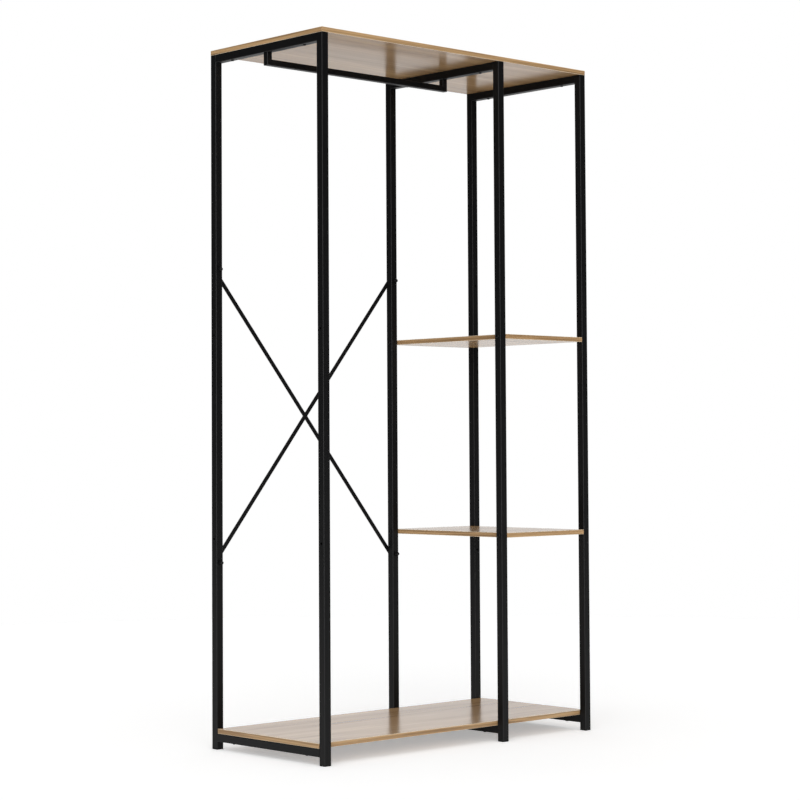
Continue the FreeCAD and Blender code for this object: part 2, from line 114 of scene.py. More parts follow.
class RackSizes(PropertyGroup):
    """Sizes of the details that the frame leaves plain."""

    board_arris: length("Board arris", "Rounding along the rim of each panel", 0.0002)
    edging_round: length("Edging rounding", "Rounding of the edging's outer corners", 0.0009)
    shelf_grip: length("Shelf grip", "Length of a shelf screw inside its shelf", 0.030)
    bolt_head: length("Bolt head", "Diameter of the shelf and brace bolt heads", 0.011)
    bolt_head_high: length("Bolt head height", "Height of the bolt heads", 0.0033)
    bolt_shank: length("Bolt shank", "Diameter of the bolts", 0.006)
    bolt_socket: length("Bolt socket", "Hexagon across flats of the bolt heads", 0.004)
    screw_head: length("Screw head", "Diameter of the board screw heads", 0.008)
    screw_head_high: length("Screw head height", "Height of the board screw heads", 0.0025)
    screw_shank: length("Screw shank", "Diameter of the board screws", 0.004)
    screw_socket: length("Screw socket", "Hexagon across flats of the board screws", 0.0025)
    head_crown: share("Head crown", "Rounding of a head, as a share of its height", 0.68)
    socket_deep: share("Socket depth", "Depth of a socket, as a share of the head's height", 0.6)
    shank_bevel: share("Shank bevel", "Bevel of a shank's end, as a share of its diameter", 0.12)
    nut_flats: length("Cap nut flats", "Hexagon across flats of the cap nuts", 0.010)
    nut_flats_high: length("Cap nut hexagon", "Height of the cap nuts' hexagon", 0.005)
    nut_bevel: length("Cap nut bevel", "Rounding of the cap nuts' hexagon", 0.0004)
    nut_dome: length("Cap nut dome", "Diameter of the cap nuts' dome", 0.0092)
    dome_crown: share("Dome crown", "Rounding of a nut's dome, as a share of its radius", 0.97)
    plug_corner: length("Plug corner", "Rounding of the foot plugs' upright corners", 0.0015)
    plug_wall: length("Plug wall", "Width of the rim that the tube's end stands on", 0.0015)
    plug_round: length("Plug rounding", "Rounding of the foot plugs' lower rim", 0.001)
    plug_seam: length("Plug seam", "Rounding of the upper rim, which shows the joint", 0.0003)


class RackColours(PropertyGroup):
    """Colours of the finishes, in linear values."""

    coat: colour("Powder coat", "Black of the coated steel", (0.0036, 0.0036, 0.0038))
    coat_light: colour("Powder coat light", "Lighter grains of the coat", (0.0075, 0.0075, 0.0078))
    # Painted highlight: a lighter colour on the tubes' rounded corners, standing in for the gloss they
    # catch
    coat_corner_highlight: colour("Powder coat corner highlight", "Painted highlight on the tubes' rounded corners", (0.03, 0.03, 0.031))
    oak_light: colour("Oak light", "Light wood between the grain lines", (0.57, 0.362, 0.178))
    oak_middle: colour("Oak middle", "Main colour of the wood", (0.46, 0.283, 0.137))
    oak_dark: colour("Oak dark", "Dark grain lines", (0.31, 0.183, 0.084))
    # Painted highlight: a pale colour on the edging's rounded arris, standing in for the light it
    # catches
    oak_arris_highlight: colour("Oak arris highlight", "Pale rounded corner of the edging", (0.93, 0.77, 0.55))
    fastener: colour("Fasteners", "Black of the screws and nuts", (0.003, 0.003, 0.0032))
    plastic: colour("Foot plugs", "Black of the moulded plugs", (0.004, 0.004, 0.004))
    floor: colour("Floor", "Pale floor", (0.92, 0.92, 0.92))
    glow: colour("Glow", "White of the surround and of the floor's glow", (1.0, 1.0, 1.0))


class RackStage(PropertyGroup):
    """Lamps, surround and floor."""

    overhead_height: angle("Overhead height", "Height of the overhead lamp in the sky", 75.0)
    overhead_width: angle("Overhead width", "Width of the overhead lamp in the sky", 75.0)
    overhead_power: number("Overhead power", "Strength of the overhead lamp", 1.35, min=0.0)
    front_turn: angle("Front turn", "Turn of the front lamp from the camera's heading", -4.0)
    front_height: angle("Front height", "Height of the front lamp in the sky", 10.0)
    front_width: angle("Front width", "Width of the front lamp in the sky", 50.0)
    front_power: number("Front power", "Strength of the front lamp", 1.7, min=0.0)
    behind: share("Surround behind", "Level of the surround behind the rack", 0.97)
    beside: share("Surround beside", "Level of the surround on both sides of the rack", 0.07)
    before: share("Surround in front", "Level of the surround on the camera's side", 0.7)
    below: share("Surround below", "What is left of the level below the horizon", 0.7)
    floor_radius: length("Floor radius", "Radius of the round floor", 4.0)
    floor_glow: share("Floor glow", "Glow that makes the floor white where it is seen", 0.37)


class RackView(PropertyGroup):
    """Camera of the main view."""

    place: FloatVectorProperty(name="Camera place", description="Where the camera stands",
                               default=(-3.765924, -4.030404, 0.742358), size=3,
                               subtype="TRANSLATION", unit="LENGTH")
    heading: angle("Heading", "Turn from straight ahead to the right", 42.9348)
    tilt: angle("Tilt", "Upward tilt", 2.2621)
    roll: angle("Roll", "Turn about the view's axis", -0.322)
    lens: number("Lens", "Focal length in millimetres", 96.9818, unit="CAMERA")
    sensor: number("Sensor", "Width of the sensor in millimetres", 36.0, unit="CAMERA")
    shift: number("Shift", "Vertical shift of the lens, as a share of the picture", -0.0475)


# Selecting and shaping

def deselect():
    """Leaves edit mode with nothing selected."""
    if bpy.context.mode != "OBJECT":
        bpy.ops.object.mode_set(mode="OBJECT")
    bpy.ops.object.select_all(action="DESELECT")


def take(piece):
    """Makes a piece the only selected object."""
    deselect()
    piece.select_set(True)
    bpy.context.view_layer.objects.active = piece


def settle(piece, name):
    """Puts a piece's place, turn and size into its mesh and names it."""
    take(piece)
    bpy.ops.object.transform_apply(location=True, rotation=True, scale=True)
    piece.name = name
    piece.data.name = name
    return piece


def new_block(low, high, name):
    """A plain block between two corners, to be shaped."""
    deselect()
    bpy.ops.mesh.primitive_cube_add(size=1.0, location=(low + high) / 2)
    block = bpy.context.object
    block.scale = high - low
    return settle(block, name)


def new_bar(sides, radius, bottom, top, name):
    """A plain upright bar between two levels, to be shaped."""
    deselect()
    bpy.ops.mesh.primitive_cylinder_add(vertices=sides, radius=radius, depth=top - bottom,
                                        location=(0.0, 0.0, (bottom + top) / 2))
    return settle(bpy.context.object, name)


def hexagon_radius(flats):
    """Radius of a hexagon's corners from its width across flats."""
    return flats / math.sqrt(3)


def edit(piece):
    """Opens a piece in edit mode with all of its mesh selected."""
    take(piece)
    bpy.ops.object.mode_set(mode="EDIT")
    bpy.ops.mesh.select_mode(type="VERT")
    bpy.ops.mesh.select_all(action="SELECT")


def pick(piece, kind, test):
    """Selects only those faces or edges that pass a test, in edit mode."""
    bpy.ops.mesh.select_mode(type="FACE" if kind == "faces" else "EDGE")
    bpy.ops.mesh.select_all(action="DESELECT")
    mesh = bmesh.from_edit_mesh(piece.data)
    found = [item for item in getattr(mesh, kind) if test(item)]
    if not found:
        raise RuntimeError(f"{piece.name}: no {kind} to shape")
    for item in found:
        item.select_set(True)
    bmesh.update_edit_mesh(piece.data)


def at_level(item, axis, level):
    """True where all corners of a face or an edge lie at one level of an axis."""
    return all(abs(vert.co[axis] - level) < SAME_LEVEL for vert in item.verts)


def upright(edge):
    """True on an edge whose ends lie at two levels."""
    return not at_level(edge, Z, edge.verts[0].co.z)


def on_side(edge, low, high):
    """True on an edge that lies in one of the four upright sides of a box."""
    return any(at_level(edge, axis, corner[axis]) for corner in (low, high) for axis in (X, Y))


def round_off(width, steps):
    """Rounds the selected edges, in edit mode."""
    bpy.ops.mesh.bevel(offset=width, segments=steps, affect="EDGES")


def inset(width):
    """Draws a rim of one width inside the selected faces, in edit mode."""
    bpy.ops.mesh.inset(thickness=width, depth=0.0)


def draw_up(height):
    """Extrudes the selected faces upwards, in edit mode."""
    bpy.ops.mesh.extrude_region_move(TRANSFORM_OT_translate={"value": (0.0, 0.0, height)})


def smooth(piece, sharp=40.0):
    """Smooths edges up to an angle in degrees and keeps flat faces flat."""
    take(piece)
    bpy.ops.object.shade_smooth_by_angle(angle=math.radians(sharp))
    bpy.ops.object.modifier_add(type="WEIGHTED_NORMAL")
    change = piece.modifiers[-1]
    change.keep_sharp = True
    bpy.ops.object.modifier_apply(modifier=change.name)


def combine(piece, tool, operation):
    """Takes one mesh out of another or joins them, and drops the second one."""
    take(piece)
    bpy.ops.object.modifier_add(type="BOOLEAN")
    change = piece.modifiers[-1]
    change.operation = operation
    change.solver = "EXACT"
    change.object = tool
    bpy.ops.object.modifier_apply(modifier=change.name)
    deselect()
    bpy.data.objects.remove(tool)


def placed(point, axis):
    """A turn that carries a fastener from upwards to an axis, at a point."""
    return Matrix.Translation(point) @ UP.rotation_difference(axis).to_matrix().to_4x4()


def copies(pattern, places, name):
    """Copies a pattern to every place as one joined piece and drops the pattern."""
    made = []
    for place in places:
        take(pattern)
        bpy.ops.object.duplicate()
        copy = bpy.context.object
        copy.matrix_world = place
        made.append(settle(copy, name))
    deselect()
    bpy.data.objects.remove(pattern)
    for copy in made:
        copy.select_set(True)
    bpy.context.view_layer.objects.active = made[0]
    bpy.ops.object.join()
    return made[0]


def put_on(piece, material, node):
    """Gives a finished piece its material and body, and hides the node it stands for."""
    piece.data.materials.append(material)
    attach(piece, BODY)
    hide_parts(node)


def middle(node):
    """Middle of a node's box."""
    low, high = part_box(node)
    return (low + high) / 2


# Material nodes

# First input, second input and output of a Mix node
MIX_SOCKETS = {"VECTOR": (4, 5, 1), "RGBA": (6, 7, 2)}
NOISE_MIDDLE = 0.5


def wire(tree, node, inputs):
    """Links or sets the inputs of a node."""
    for socket, value in inputs.items():
        if isinstance(value, NodeSocket):
            tree.links.new(value, node.inputs[socket])
        else:
            node.inputs[socket].default_value = value


def add(tree, kind, inputs=None, **settings):
    """Adds a node, sets it up and fills its inputs."""
    node = tree.nodes.new(kind)
    for key, value in settings.items():
        setattr(node, key, value)
    wire(tree, node, inputs or {})
    return node


def reckon(tree, operation, first, second=0.0, third=0.0):
    """One sum on values."""
    node = add(tree, "ShaderNodeMath", {0: first, 1: second, 2: third}, operation=operation)
    return node.outputs[0]


def reckon_vector(tree, operation, first, second=(0.0, 0.0, 0.0), third=(0.0, 0.0, 0.0)):
    """One sum on vectors."""
    node = add(tree, "ShaderNodeVectorMath", {0: first, 1: second, 2: third}, operation=operation)
    return node.outputs[0]


def apart(tree, vector):
    """The three parts of a vector."""
    return add(tree, "ShaderNodeSeparateXYZ", {0: vector}).outputs


def noise(tree, vector, detail, scale=1.0, roughness=0.5):
    """Soft noise, as a value from 0 to 1 and as a colour."""
    return add(tree, "ShaderNodeTexNoise", {"Vector": vector, "Scale": scale, "Detail": detail,
                                            "Roughness": roughness}).outputs


def spread(tree, value, low, high, to_low=0.0, to_high=1.0):
    """Maps a value smoothly from one range to another."""
    node = add(tree, "ShaderNodeMapRange", {"Value": value, "From Min": low, "From Max": high,
                                            "To Min": to_low, "To Max": to_high},
               interpolation_type="SMOOTHSTEP")
    return node.outputs[0]


def blend(tree, factor, first, second, kind="RGBA"):
    """Mixes two colours or two vectors."""
    start, end, result = MIX_SOCKETS[kind]
    node = add(tree, "ShaderNodeMix", {0: factor, start: first, end: second}, data_type=kind)
    return node.outputs[result]


def full(rgb):
    """A colour with its alpha."""
    return (*rgb, 1.0)


def empty_tree(owner):
    """The cleared node tree of a material or a world."""
    owner.use_nodes = True
    owner.node_tree.nodes.clear()
    return owner.node_tree


def new_group(name, inputs, outputs):
    """An empty shader group with named sockets: its tree, its inputs and its output node."""
    tree = bpy.data.node_groups.new(name, "ShaderNodeTree")
    for sockets, way in ((inputs, "INPUT"), (outputs, "OUTPUT")):
        for socket, kind in sockets.items():
            tree.interface.new_socket(socket, in_out=way, socket_type=f"NodeSocket{kind}")
    given = tree.nodes.new("NodeGroupInput").outputs
    return tree, given, tree.nodes.new("NodeGroupOutput")


def use_group(tree, group, inputs):
    """Places a group in a material."""
    return add(tree, "ShaderNodeGroup", inputs, node_tree=group).outputs


def new_material(name):
    """A material with its shader and the piece's own coordinates."""
    material = bpy.data.materials.new(name)
    tree = empty_tree(material)
    shader = add(tree, "ShaderNodeBsdfPrincipled")
    add(tree, "ShaderNodeOutputMaterial", {"Surface": shader.outputs[0]})
    coords = add(tree, "ShaderNodeTexCoord").outputs
    return material, tree, shader, coords


def finish_with(tree, shader, base, roughness, height, bump, depth):
    """Wires colour, roughness and bump into a shader, with the bump's depth in metres."""
    relief = add(tree, "ShaderNodeBump", {"Strength": bump, "Distance": depth, "Height": height})
    wire(tree, shader, {"Base Color": base, "Roughness": roughness, "Normal": relief.outputs[0]})


# Oak

# Waves per metre along the grain and across it
SWAY_WAVES = (1.3, 5.0)
BROAD_WAVES = (0.7, 13.0)
NARROW_WAVES = (2.2, 70.0)
RING_WAVES = (0.5, 1.0)
FIBRE_WAVES = (14.0, 620.0)
PORE_WAVES = (34.0, 1300.0)
# How far the grain sways sideways, in metres, and the share of rings in its figure
SWAY_REACH = 0.05
RING_SHARE = 0.15
# Tones at which one colour or mark gives way to the next
LIGHT_TO_MIDDLE = (0.3, 0.52)
MIDDLE_TO_DARK = (0.52, 0.78)
EARLY_WOOD = (0.42, 0.62)
PORE_RANGE = (0.6, 0.7)
FIBRE_RANGE = (0.45, 0.7)
# How strongly fibres and pores darken the wood, dull it and stand out or in
FIBRE_TINT = 0.12
PORE_TINT = 0.5
TONE_GLOSS = 0.5
PORE_GLOSS = 0.3
FIBRE_HEIGHT = 0.4
PORE_HEIGHT = -0.6
# Range of the grain's gloss, depth of its bump and how much finer it is across the edging
OAK_GLOSS = (0.1, 0.6)
OAK_DEPTH = 0.0002
EDGING_STRETCH = (1.0, 1.0, 3.0)
# Parts of the normal at which a face is a short side, and at which the painted highlight on an arris
# begins and ends
SHORT_SIDE = 0.7
ARRIS_HIGHLIGHT_RANGE = (0.1, 0.4)


def in_waves(tree, vector, waves):
    """A vector drawn out to waves along its first axis and across it."""
    along, across = waves
    return reckon_vector(tree, "MULTIPLY", vector, (along, across, across))


def about_middle(tree, value, strength):
    """The swing of a noise about its middle, times a strength."""
    return reckon(tree, "MULTIPLY", reckon(tree, "SUBTRACT", value, NOISE_MIDDLE), strength)


def bent_grain(tree, place):
    """A place that sways sideways along the grain."""
    sway = noise(tree, in_waves(tree, place, SWAY_WAVES), detail=2.0)["Color"]
    sway = reckon_vector(tree, "SUBTRACT", sway, (NOISE_MIDDLE, NOISE_MIDDLE, NOISE_MIDDLE))
    return reckon_vector(tree, "MULTIPLY_ADD", sway, (0.0, SWAY_REACH, SWAY_REACH), place)


def oak_tone(tree, bent, given):
    """Light and dark of the wood: a broad figure with rings, and narrow lines."""
    broad = noise(tree, in_waves(tree, bent, BROAD_WAVES), detail=2.0)["Fac"]
    narrow = noise(tree, in_waves(tree, bent, NARROW_WAVES), detail=4.0, roughness=0.6)["Fac"]
    rings = add(tree, "ShaderNodeTexWave",
                {"Vector": in_waves(tree, bent, RING_WAVES), "Scale": 4.0, "Distortion": 9.0,
                 "Detail": 2.0, "Detail Scale": 0.8},
                wave_type="BANDS", bands_direction="Y", wave_profile="SIN").outputs["Fac"]
    figure = reckon(tree, "MULTIPLY_ADD", rings, RING_SHARE,
                    reckon(tree, "MULTIPLY", broad, 1.0 - RING_SHARE))
    figure = about_middle(tree, figure, given["Figure"])
    lines = about_middle(tree, narrow, given["Streak"])
    return reckon(tree, "ADD", reckon(tree, "ADD", figure, lines), NOISE_MIDDLE)


def oak_grain_group():
    """Oak figure, fibres and pores along the first axis of a vector."""
    name = "Oak grain"
    if name in bpy.data.node_groups:
        return bpy.data.node_groups[name]
    tree, given, result = new_group(
        name,
        {"Vector": "Vector", "Light": "Color", "Middle": "Color", "Dark": "Color",
         "Figure": "Float", "Streak": "Float"},
        {"Color": "Color", "Gloss": "Float", "Height": "Float"},
    )
    place = given["Vector"]
    tone = oak_tone(tree, bent_grain(tree, place), given)
    fibre = noise(tree, in_waves(tree, place, FIBRE_WAVES), detail=3.0)["Fac"]
    pore = noise(tree, in_waves(tree, place, PORE_WAVES), detail=1.0)["Fac"]
    early = spread(tree, tone, *EARLY_WOOD)
    pores = reckon(tree, "MULTIPLY", spread(tree, pore, *PORE_RANGE), early)
    fibres = reckon(tree, "MULTIPLY", spread(tree, fibre, *FIBRE_RANGE), FIBRE_TINT)
    hue = blend(tree, spread(tree, tone, *LIGHT_TO_MIDDLE), given["Light"], given["Middle"])
    hue = blend(tree, spread(tree, tone, *MIDDLE_TO_DARK), hue, given["Dark"])
    hue = blend(tree, fibres, hue, given["Dark"])
    hue = blend(tree, reckon(tree, "MULTIPLY", pores, PORE_TINT), hue, given["Dark"])
    gloss = reckon(tree, "MULTIPLY_ADD", tone, TONE_GLOSS,
                   reckon(tree, "MULTIPLY", pores, PORE_GLOSS))
    height = reckon(tree, "MULTIPLY_ADD", fibre, FIBRE_HEIGHT,
                    reckon(tree, "MULTIPLY", pores, PORE_HEIGHT))
    wire(tree, result, {"Color": hue, "Gloss": gloss, "Height": height})
    return tree


def oak_grain(tree, vector, figure, streak):
    """Oak grain in the rack's colours, with the strength of its figure and of its lines."""
    colours = bpy.context.scene.rack_colours
    return use_group(tree, oak_grain_group(), {
        "Vector": vector, "Light": full(colours.oak_light), "Middle": full(colours.oak_middle),
        "Dark": full(colours.oak_dark), "Figure": figure, "Streak": streak})


def oak_laminate():
    """Satin oak foil on both faces of the boards, grain along the boards."""
    material, tree, shader, coords = new_material("Oak laminate")
    grain = oak_grain(tree, coords["Object"], figure=0.8, streak=0.65)
    roughness = spread(tree, grain["Gloss"], *OAK_GLOSS, to_low=0.2, to_high=0.27)
    finish_with(tree, shader, grain["Color"], roughness, grain["Height"], bump=0.08, depth=OAK_DEPTH)
    return material


def oak_edging():
    """Oak edging strip with its grain along each edge and a painted highlight along its rounded arris.
    """
    material, tree, shader, coords = new_material("Oak edging")
    normal = apart(tree, coords["Normal"])
    parts = apart(tree, coords["Object"])
    turned = add(tree, "ShaderNodeCombineXYZ", {0: parts["Y"], 1: parts["X"], 2: parts["Z"]})
    side = reckon(tree, "GREATER_THAN", reckon(tree, "ABSOLUTE", normal["X"]), SHORT_SIDE)
    along = blend(tree, side, coords["Object"], turned.outputs[0], "VECTOR")
    run = reckon_vector(tree, "MULTIPLY", along, EDGING_STRETCH)
    grain = oak_grain(tree, run, figure=0.8, streak=2.2)
    # Painted highlight: the rounded arris is mixed towards a pale colour
    arris = spread(tree, reckon(tree, "ABSOLUTE", normal["Z"]), *ARRIS_HIGHLIGHT_RANGE)
    base = blend(tree, arris, grain["Color"], full(bpy.context.scene.rack_colours.oak_arris_highlight))
    roughness = spread(tree, grain["Gloss"], *OAK_GLOSS, to_low=0.35, to_high=0.5)
    finish_with(tree, shader, base, roughness, grain["Height"], bump=0.12, depth=OAK_DEPTH)
    return material


# Black finishes

# Range of noise that turns to speckles, scale of clouds and scale and height of dots
SPECKLE_RANGE = (0.35, 0.75)
CLOUD_SCALE = 7.0
DOT_SCALE = 2.1
DOT_HEIGHT = -0.5
# Share of speckles in the change of gloss, and the range of that change
SPECKLE_SHARE = 0.4
GLOSS_RANGE = (0.2, 0.8)
# Largest part of the normal where a flat face ends, and where a rounded corner is full, for the
# painted corner highlight
CORNER_RANGE = (0.97, 0.8)
# Low mirror level of the black finishes
SPECULAR_LEVEL = 0.18


def fine_grain_group():
    """Fine bumps and speckles of a coated or moulded surface."""
    name = "Fine grain"
    if name in bpy.data.node_groups:
        return bpy.data.node_groups[name]
    tree, given, result = new_group(
        name,
        {"Vector": "Vector", "Scale": "Float"},
        {"Speckle": "Float", "Cloud": "Float", "Height": "Float"},
    )
    place = add(tree, "ShaderNodeVectorMath", {0: given["Vector"], "Scale": given["Scale"]},
                operation="SCALE").outputs[0]
    peel = noise(tree, place, detail=2.0)["Fac"]
    dots = add(tree, "ShaderNodeTexVoronoi", {"Vector": place, "Scale": DOT_SCALE},
               feature="SMOOTH_F1").outputs["Distance"]
    cloud = noise(tree, given["Vector"], detail=3.0, scale=CLOUD_SCALE)["Fac"]
    height = reckon(tree, "MULTIPLY_ADD", dots, DOT_HEIGHT, peel)
    wire(tree, result, {"Speckle": spread(tree, peel, *SPECKLE_RANGE), "Cloud": cloud,
                        "Height": height})
    return tree


def corner_mask(tree, normal):
    """1 on rounded corners and 0 on faces that lie square to the axes."""
    parts = apart(tree, reckon_vector(tree, "ABSOLUTE", normal))
    largest = reckon(tree, "MAXIMUM", reckon(tree, "MAXIMUM", parts["X"], parts["Y"]), parts["Z"])
    return spread(tree, largest, *CORNER_RANGE)


def grained_material(name, dark, light, scale, roughness, bump, depth, edge=None):
    """A black finish with a fine grain in grains per metre and, if given, a painted highlight on its
    rounded corners.
    """
    if name in bpy.data.materials:
        return bpy.data.materials[name]
    material, tree, shader, coords = new_material(name)
    grain = use_group(tree, fine_grain_group(), {"Vector": coords["Object"], "Scale": scale})
    base = blend(tree, grain["Speckle"], full(dark), full(light))
    if edge is not None:
        # Painted highlight: the rounded corners are mixed towards a lighter colour
        base = blend(tree, corner_mask(tree, coords["Normal"]), base, full(edge))
    change = reckon(tree, "MULTIPLY_ADD", grain["Speckle"], SPECKLE_SHARE,
                    reckon(tree, "MULTIPLY", grain["Cloud"], 1.0 - SPECKLE_SHARE))
    finish_with(tree, shader, base, spread(tree, change, *GLOSS_RANGE, *roughness),
                grain["Height"], bump, depth)
    wire(tree, shader, {"Specular IOR Level": SPECULAR_LEVEL})
    return material


def powder_coat():
    """Black powder coat of the steel tubes, with a painted highlight on their rounded corners."""
    colours = bpy.context.scene.rack_colours
    return grained_material("Powder coat", colours.coat, colours.coat_light, scale=900.0,
                            roughness=(0.4, 0.52), bump=0.1, depth=0.00005, edge=colours.coat_corner_highlight)


def fastener_black():
    """Smoother black of the screws, bolts and nuts."""
    colours = bpy.context.scene.rack_colours
    return grained_material("Fastener black", colours.fastener, colours.coat_light, scale=1600.0,
                            roughness=(0.3, 0.42), bump=0.1, depth=0.0001)


def plug_plastic():
    """Moulded black plastic of the foot plugs."""
    colours = bpy.context.scene.rack_colours
    return grained_material("Plug plastic", colours.plastic, colours.coat_light, scale=1300.0,
                            roughness=(0.45, 0.6), bump=0.3, depth=0.0001)


# Pieces

class RACK_OT_dress_steel(Operator):
    """Coats the posts, the rails, the hanging rail and the braces"""

    bl_idname = "rack.dress_steel"
    bl_label = "Coat the Steel"

    def execute(self, context):
        material = powder_coat()
        for name in STEEL_NODES:
            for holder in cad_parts[name].material_slots:
                holder.material = material
        return {"FINISHED"}


class RACK_OT_make_boards(Operator):
    """Makes the two boards and the two shelves"""

    bl_idname = "rack.make_boards"
    bl_label = "Make the Boards"

    def execute(self, context):
        sizes = context.scene.rack_sizes
        material = oak_laminate()
        for board in BOARDS:
            panel = new_block(*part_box(board), f"{board}_panel")
            edit(panel)
            round_off(sizes.board_arris, steps=2)
            smooth(panel)
            put_on(panel, material, board)
        return {"FINISHED"}


class RACK_OT_make_edging(Operator):
    """Makes the edging strip round each board"""

    bl_idname = "rack.make_edging"
    bl_label = "Make the Edging"

    def execute(self, context):
        sizes = context.scene.rack_sizes
        material = oak_edging()
        for board in BOARDS:
            node = f"{board}_edging"
            low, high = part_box(node)
            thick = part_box(board)[LOW].x - low.x
            strip = self.make_ring(low, high, thick, f"{node}_strip")
            pick(strip, "edges", lambda edge: on_side(edge, low, high))
            round_off(sizes.edging_round, steps=4)
            smooth(strip)
            put_on(strip, material, node)
        return {"FINISHED"}

    def make_ring(self, low, high, thick, name):
        """A square-edged strip of one thickness round the inside of a box, still in edit mode."""
        deselect()
        bpy.ops.mesh.primitive_plane_add(
            size=1.0, location=((low.x + high.x) / 2, (low.y + high.y) / 2, low.z))
        ring = bpy.context.object
        ring.scale = (high.x - low.x, high.y - low.y, 1.0)
        settle(ring, name)
        edit(ring)
        inset(thick)
        bpy.ops.mesh.delete(type="FACE")
        bpy.ops.mesh.select_all(action="SELECT")
        draw_up(high.z - low.z)
        bpy.ops.mesh.select_all(action="SELECT")
        bpy.ops.mesh.normals_make_consistent(inside=False)
        return ring


def brace_ends(sizes, face):
    """Places of the four brace ends on the rear posts, at one face and turned to the front."""
    low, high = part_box("brace_bolts")
    radius = sizes.bolt_head / 2
    return [placed((middle(f"{side}_rear_post").x, face, level), FRONT)
            for side in BRACED_FRAMES for level in (low.z + radius, high.z - radius)]


class RACK_OT_make_screws(Operator):
    """Makes the shelf screws, brace bolts, board screws and hanging rail screws"""

    bl_idname = "rack.make_screws"
    bl_label = "Make the Screws"

    def execute(self, context):
        sizes = context.scene.rack_sizes
        groups = {
            "shelf_screws": ("bolt", self.shelf_places(sizes)),
            "brace_bolts": ("bolt", self.brace_places(sizes)),
            "top_board_screws": ("screw", self.board_places(sizes, "top_board_screws")),
            "bottom_board_screws": ("screw", self.board_places(sizes, "bottom_board_screws")),
            "hanging_rail_screws": ("bolt", self.rail_places(sizes)),
        }
        for node, (kind, (places, shank_long)) in groups.items():
            group = copies(self.model(sizes, kind, shank_long), places, f"{node}_socket_heads")
            put_on(group, fastener_black(), node)
        return {"FINISHED"}

    def model(self, sizes, kind, shank_long):
        """A bolt or screw with a round socket head below the ground level and its shank above."""
        head, head_high, shank, socket = (getattr(sizes, f"{kind}_{part}")
                                          for part in ("head", "head_high", "shank", "socket"))
        screw = new_bar(ROUND_SIDES, head / 2, -head_high, 0.0, kind)
        edit(screw)
        pick(screw, "edges", lambda edge: at_level(edge, Z, -head_high))
        round_off(head_high * sizes.head_crown, steps=6)
        pick(screw, "faces", lambda face: at_level(face, Z, 0.0))
        inset((head - shank) / 2)
        draw_up(shank_long)
        pick(screw, "edges", lambda edge: at_level(edge, Z, shank_long))
        round_off(shank * sizes.shank_bevel, steps=2)
        deep = head_high * sizes.socket_deep
        tool = new_bar(HEXAGON_SIDES, hexagon_radius(socket), -head_high - deep, deep - head_high,
                       "socket")
        combine(screw, tool, "DIFFERENCE")
        smooth(screw)
        return screw

    def shelf_places(self, sizes):
        """Through the middle and right posts into the ends of the shelves."""
        places = []
        for side, end, axis in (("middle", LOW, RIGHT), ("right", HIGH, -RIGHT)):
            for row in ROWS:
                post = f"{side}_{row}_post"
                for shelf in SHELVES:
                    point = (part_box(post)[end].x, middle(post).y, middle(shelf).z)
                    places.append(placed(point, axis))
        low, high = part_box("middle_front_post")
        return places, high.x - low.x + sizes.shelf_grip

    def brace_places(self, sizes):
        """Through the brace ends and the rear posts of the left and middle frames."""
        low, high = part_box("brace_bolts")
        face = high.y - sizes.bolt_head_high
        return brace_ends(sizes, face), face - low.y

    def board_places(self, sizes, node):
        """Up through the rails into a board."""
        low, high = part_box(node)
        radius = sizes.screw_head / 2
        level = low.z + sizes.screw_head_high
        places = [placed((middle(f"{side}_top_rail").x, y, level), UP)
                  for side in FRAMES for y in (low.y + radius, high.y - radius)]
        return places, high.z - level

    def rail_places(self, sizes):
        """Down through the top rails into the hanging rail's drops."""
        low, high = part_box("hanging_rail_screws")
        level = high.z - sizes.bolt_head_high
        places = [placed((middle(f"{side}_top_rail").x, (low.y + high.y) / 2, level), -UP)
                  for side in BRACED_FRAMES]
        return places, level - low.z


class RACK_OT_make_cap_nuts(Operator):
    """Makes the domed cap nuts on the brace bolts"""

    bl_idname = "rack.make_cap_nuts"
    bl_label = "Make the Cap Nuts"

    def execute(self, context):
        sizes = context.scene.rack_sizes
        low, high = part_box("brace_cap_nuts")
        nut = self.model(sizes, high.y - low.y)
        group = copies(nut, brace_ends(sizes, high.y), "brace_cap_nuts_domed")
        put_on(group, fastener_black(), "brace_cap_nuts")
        return {"FINISHED"}

    def model(self, sizes, whole):
        """A hexagon that bears at the ground level, with a round dome on it."""
        radius = sizes.nut_dome / 2
        nut = new_bar(HEXAGON_SIDES, hexagon_radius(sizes.nut_flats), 0.0, sizes.nut_flats_high, "nut")
        edit(nut)
        round_off(sizes.nut_bevel, steps=3)
        dome = new_bar(ROUND_SIDES, radius, sizes.nut_flats_high / 2, whole, "dome")
        edit(dome)
        pick(dome, "edges", lambda edge: at_level(edge, Z, whole))
        round_off(radius * sizes.dome_crown, steps=10)
        combine(nut, dome, "UNION")
        smooth(nut, sharp=35.0)
        return nut


class RACK_OT_make_foot_plugs(Operator):
    """Makes the plastic plugs in the lower ends of the posts"""

    bl_idname = "rack.make_foot_plugs"
    bl_label = "Make the Foot Plugs"

    def execute(self, context):
        sizes = context.scene.rack_sizes
        for side in FRAMES:
            for row in ROWS:
                self.make(sizes, f"{side}_{row}_foot_plug", f"{side}_{row}_post")
        return {"FINISHED"}

    def make(self, sizes, node, post):
        """One plug: a rounded flange with its stem in the tube."""
        low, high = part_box(node)
        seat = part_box(post)[LOW].z
        plug = new_block(low, Vector((high.x, high.y, seat)), f"{node}_moulded")
        edit(plug)
        pick(plug, "edges", upright)
        round_off(sizes.plug_corner, steps=5)
        pick(plug, "edges", lambda edge: at_level(edge, Z, low.z))
        round_off(sizes.plug_round, steps=3)
        pick(plug, "edges", lambda edge: at_level(edge, Z, seat))
        round_off(sizes.plug_seam, steps=2)
        pick(plug, "faces", lambda face: at_level(face, Z, seat))
        inset(sizes.plug_wall - sizes.plug_seam)
        draw_up(high.z - seat)
        smooth(plug)
        put_on(plug, plug_plastic(), node)


